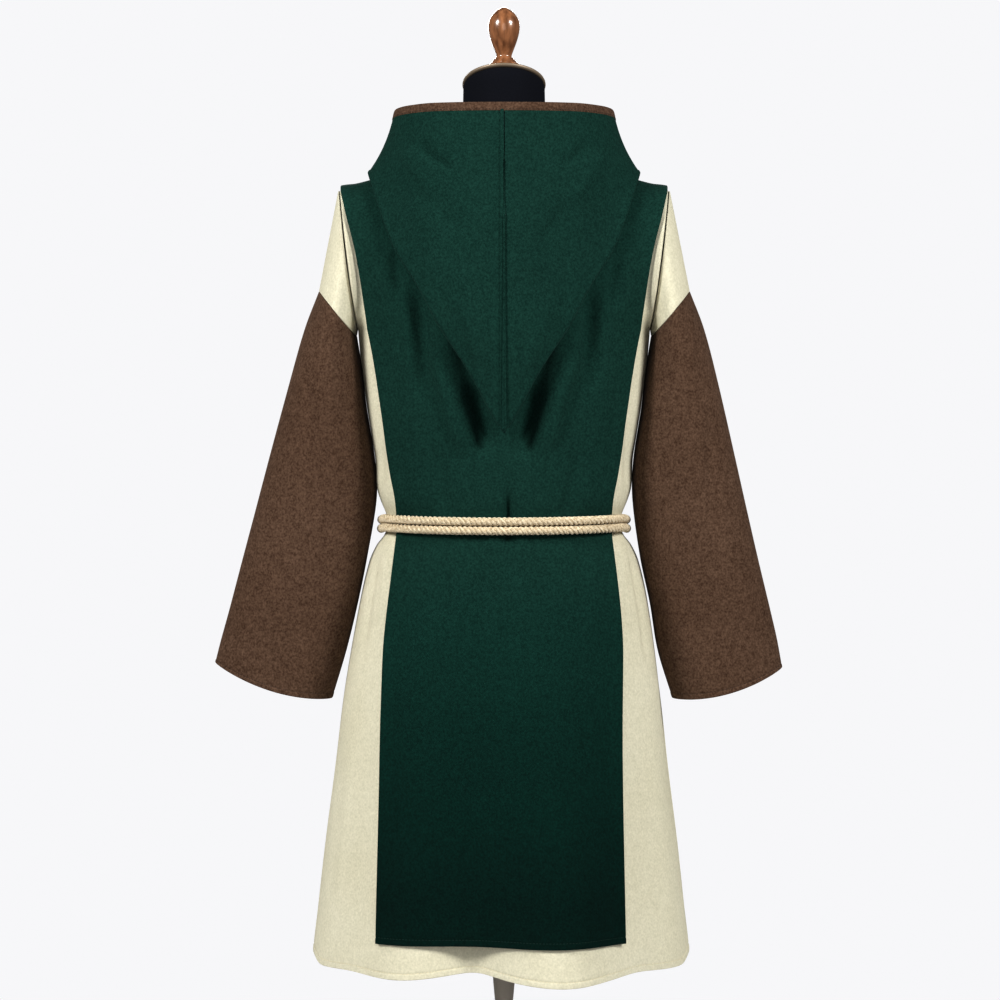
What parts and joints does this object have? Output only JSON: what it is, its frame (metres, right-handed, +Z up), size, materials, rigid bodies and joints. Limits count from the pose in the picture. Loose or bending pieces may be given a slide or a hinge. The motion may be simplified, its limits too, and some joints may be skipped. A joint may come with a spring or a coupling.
{
  "type": "monastic habit on a dress form",
  "caption": "Cream wool tunic with wide brown sleeves, a green scapular, a pointed hood laid down the back and a rope belt, worn by a limbless dress form on a stand.",
  "frame": {"origin": "centre of the base's underside, on the floor", "axes": "+Z up, +Y towards the back of the garment, +X towards the wearer's left"},
  "size_m": [0.805, 0.4211, 1.7003],
  "materials": {
    "cream_wool": "felted cream wool, matt",
    "brown_wool": "felted brown heather wool, matt",
    "green_wool": "felted bottle-green wool, matt with a soft nap",
    "rope": "natural twisted rope",
    "form_jersey": "black jersey",
    "bronze_plate": "satin, aged",
    "polished_wood": "polished, varnished",
    "stand_metal": "taupe-grey satin paint"
  },
  "bodies": {
    "root": {"tunic_back": "cream_wool", "tunic_front": "cream_wool", "sleeve_head_left": "cream_wool", "sleeve_head_right": "cream_wool", "sleeve_left": "brown_wool", "sleeve_right": "brown_wool", "scapular_back": "green_wool", "scapular_front": "green_wool", "hood_left": "green_wool", "hood_right": "green_wool", "hood_band": "brown_wool", "belt_turn_upper": "rope", "belt_turn_lower": "rope", "belt_knot": "rope", "belt_tail_left": "rope", "belt_tail_left_end": "rope", "belt_tail_right": "rope", "belt_tail_right_end": "rope", "form_body": "form_jersey", "form_neck_plate": "bronze_plate", "form_finial": "polished_wood", "form_pole": "stand_metal", "form_base": "stand_metal"}
  },
  "joints": []
}
